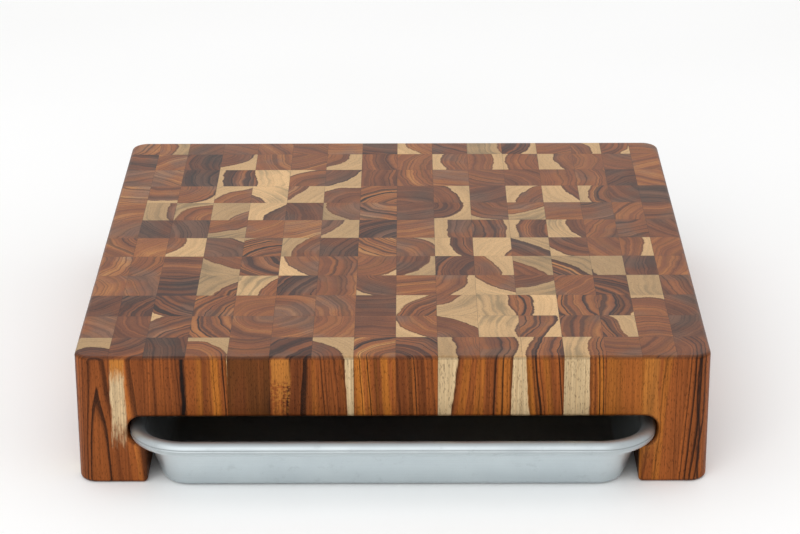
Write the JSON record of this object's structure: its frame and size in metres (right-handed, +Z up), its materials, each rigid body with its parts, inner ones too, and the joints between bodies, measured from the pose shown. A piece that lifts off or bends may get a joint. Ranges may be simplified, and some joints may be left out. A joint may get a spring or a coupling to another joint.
{
  "type": "cutting board with drawer trays",
  "caption": "End-grain wooden chopping board on two runners, with rolled-rim metal trays that slide out from under the slab at the front and the back.",
  "frame": {"origin": "on the table, under the centre of the board", "axes": "+X to the right across the front, +Y from the front to the back, +Z up out of the cutting face"},
  "size_m": [0.4064, 0.4594, 0.0889],
  "materials": {
    "slab_wood": "oiled satin end grain",
    "runner_wood": "oiled satin",
    "tray_aluminium": "satin",
    "rim_wire_steel": "galvanised"
  },
  "bodies": {
    "board": {"slab_row_01": "slab_wood", "slab_row_02": "slab_wood", "slab_row_03": "slab_wood", "slab_row_04": "slab_wood", "slab_row_05": "slab_wood", "slab_row_06": "slab_wood", "slab_row_07": "slab_wood", "slab_row_08": "slab_wood", "slab_row_09": "slab_wood", "slab_row_10": "slab_wood", "slab_row_11": "slab_wood", "slab_row_12": "slab_wood", "left_runner_row_01": "runner_wood", "left_runner_row_02": "runner_wood", "left_runner_row_03": "runner_wood", "left_runner_row_04": "runner_wood", "left_runner_row_05": "runner_wood", "left_runner_row_06": "runner_wood", "left_runner_row_07": "runner_wood", "left_runner_row_08": "runner_wood", "left_runner_row_09": "runner_wood", "left_runner_row_10": "runner_wood", "left_runner_row_11": "runner_wood", "left_runner_row_12": "runner_wood", "right_runner_row_01": "runner_wood", "right_runner_row_02": "runner_wood", "right_runner_row_03": "runner_wood", "right_runner_row_04": "runner_wood", "right_runner_row_05": "runner_wood", "right_runner_row_06": "runner_wood", "right_runner_row_07": "runner_wood", "right_runner_row_08": "runner_wood", "right_runner_row_09": "runner_wood", "right_runner_row_10": "runner_wood", "right_runner_row_11": "runner_wood", "right_runner_row_12": "runner_wood"},
    "front_tray": {"front_tray_pan": "tray_aluminium", "front_tray_rim_wire": "rim_wire_steel"},
    "rear_tray": {"rear_tray_pan": "tray_aluminium", "rear_tray_rim_wire": "rim_wire_steel"}
  },
  "joints": [
    {"name": "front_tray_slide", "type": "slide", "parent": "board", "child": "front_tray", "axis": [0, -1, 0], "range_m": [0, 0.2]},
    {"name": "rear_tray_slide", "type": "slide", "parent": "board", "child": "rear_tray", "axis": [0, 1, 0], "range_m": [0, 0.2]}
  ]
}
